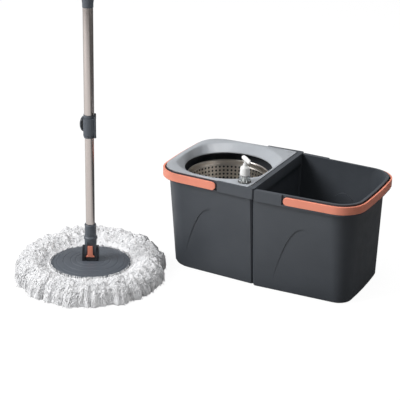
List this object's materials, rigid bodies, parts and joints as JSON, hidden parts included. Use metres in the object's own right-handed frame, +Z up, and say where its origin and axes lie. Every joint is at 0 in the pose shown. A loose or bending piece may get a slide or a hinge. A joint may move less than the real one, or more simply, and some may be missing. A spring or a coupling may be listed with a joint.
{
  "type": "spin mop",
  "caption": "Upright telescopic spin mop with a round microfibre head, beside a joined wringer and rinse bucket with spinning basket, splash deck, soap pump and bail handles.",
  "frame": {"origin": "middle of the wringer bucket's underside, on the basket's spin axis", "axes": "+X from the wringer bucket to the rinse bucket, +Y to the back, +Z up the basket's axis and the mop's handle"},
  "size_m": [0.6842, 0.4994, 1.231],
  "materials": {
    "bucket_grey": "satin moulded polypropylene",
    "deck_grey": "satin moulded polypropylene",
    "coral": "satin moulded polypropylene",
    "steel": "brushed stainless steel",
    "polished_steel": "polished stainless sheet",
    "plate_grey": "fine-grained moulded plastic",
    "black_plastic": "matt",
    "white_plastic": "glossy",
    "clear_plastic": "clear plastic",
    "yarn": "soft microfibre loops"
  },
  "bodies": {
    "rinse_bucket": {"rinse_bucket": "bucket_grey"},
    "rinse_bail": {"rinse_bail": "coral"},
    "wringer_bucket": {"wringer_bucket": "bucket_grey", "spindle_post": "bucket_grey", "post_screw_1": "steel", "post_screw_2": "steel", "post_screw_3": "steel", "spindle_bearing": "polished_steel"},
    "wringer_bail": {"wringer_bail": "coral"},
    "splash_deck": {"splash_deck": "deck_grey"},
    "basket": {"basket_shell": "polished_steel", "basket_hub": "bucket_grey", "hub_ring": "bucket_grey", "hub_cap": "bucket_grey", "spindle": "steel"},
    "dispenser": {"pump_bottle": "clear_plastic", "pump_cap": "white_plastic", "pump_cylinder": "white_plastic", "dip_tube": "clear_plastic", "pump_spring": "steel"},
    "pump_stem": {"pump_stem": "white_plastic"},
    "pump_nozzle": {"pump_nozzle": "white_plastic"},
    "refill": {"mop_strings": "yarn", "refill_ring": "white_plastic"},
    "mop_head": {"mop_plate": "plate_grey", "plate_screw": "steel", "yoke": "black_plastic", "tilt_pin": "steel"},
    "lower_handle": {"tube_socket": "plate_grey", "socket_rivet": "steel", "lower_tube": "steel", "drive_nut": "white_plastic"},
    "lock_latch": {"lock_latch": "coral"},
    "drive_carrier": {"guide_bush": "black_plastic"},
    "upper_handle": {"lock_collar": "plate_grey", "lever_pin": "black_plastic", "thumb_pad": "black_plastic", "outer_tube": "steel", "joiner_sleeve": "plate_grey", "top_tube": "steel", "grip": "plate_grey", "end_cap": "plate_grey", "drive_rod": "steel", "rod_anchor": "black_plastic"},
    "lock_lever": {"lock_lever": "plate_grey"}
  },
  "joints": [
    {"name": "rinse_bail_hinge", "type": "hinge", "parent": "rinse_bucket", "child": "rinse_bail", "pos_m": [0.183, 0, 0.2038], "axis": [0, -1, 0], "range_deg": [0, 90]},
    {"name": "wringer_lift", "type": "slide", "parent": "rinse_bucket", "child": "wringer_bucket", "axis": [0, 0, 1], "range_m": [0, 0.12]},
    {"name": "wringer_bail_hinge", "type": "hinge", "parent": "wringer_bucket", "child": "wringer_bail", "pos_m": [0.022, 0, 0.2045], "axis": [0, 1, 0], "range_deg": [0, 90]},
    {"name": "deck_lift", "type": "slide", "parent": "wringer_bucket", "child": "splash_deck", "axis": [0, 0, 1], "range_m": [0, 0.028]},
    {"name": "basket_spin", "type": "hinge", "parent": "wringer_bucket", "child": "basket", "pos_m": [0, 0, 0.15], "axis": [0, 0, 1], "continuous": true},
    {"name": "dispenser_lift", "type": "slide", "parent": "splash_deck", "child": "dispenser", "axis": [0, 0, 1], "range_m": [0, 0.075]},
    {"name": "pump_press", "type": "slide", "parent": "dispenser", "child": "pump_stem", "axis": [0, 0, -1], "range_m": [0, 0.0045], "stiffness_N_per_m": 300, "springref_m": -0.005, "deforming": ["pump_spring"]},
    {"name": "nozzle_turn", "type": "hinge", "parent": "pump_stem", "child": "pump_nozzle", "pos_m": [0.082, -0.098, 0.255], "axis": [0, 0, 1], "continuous": true},
    {"name": "mop_lift", "type": "slide", "parent": "rinse_bucket", "child": "refill", "axis": [0, 0, 1], "range_m": [0, 0.1]},
    {"name": "refill_clip", "type": "slide", "parent": "refill", "child": "mop_head", "axis": [0, 0, 1], "range_m": [0, 0.03]},
    {"name": "handle_tilt", "type": "hinge", "parent": "mop_head", "child": "lower_handle", "pos_m": [-0.1981, -0.2157, 0.057], "axis": [0.8918, 0.4524, 0], "range_deg": [-80, 80]},
    {"name": "latch_slide", "type": "slide", "parent": "lower_handle", "child": "lock_latch", "axis": [0, 0, 1], "range_m": [0, 0.006]},
    {"name": "drive_turn", "type": "hinge", "parent": "lower_handle", "child": "drive_carrier", "pos_m": [-0.1981, -0.2157, 0.596], "axis": [0, 0, 1], "range_deg": [-560, 10]},
    {"name": "handle_plunge", "type": "slide", "parent": "drive_carrier", "child": "upper_handle", "axis": [0, 0, 1], "range_m": [-0.18, 0]},
    {"name": "lever_open", "type": "hinge", "parent": "upper_handle", "child": "lock_lever", "pos_m": [-0.18396, -0.21772, 0.318], "axis": [0, 0, 1], "range_deg": [0, 100]}
  ],
  "couplings": [
    {"joint": "drive_turn", "follows": "handle_plunge", "rad_per_m": 52.8}
  ]
}
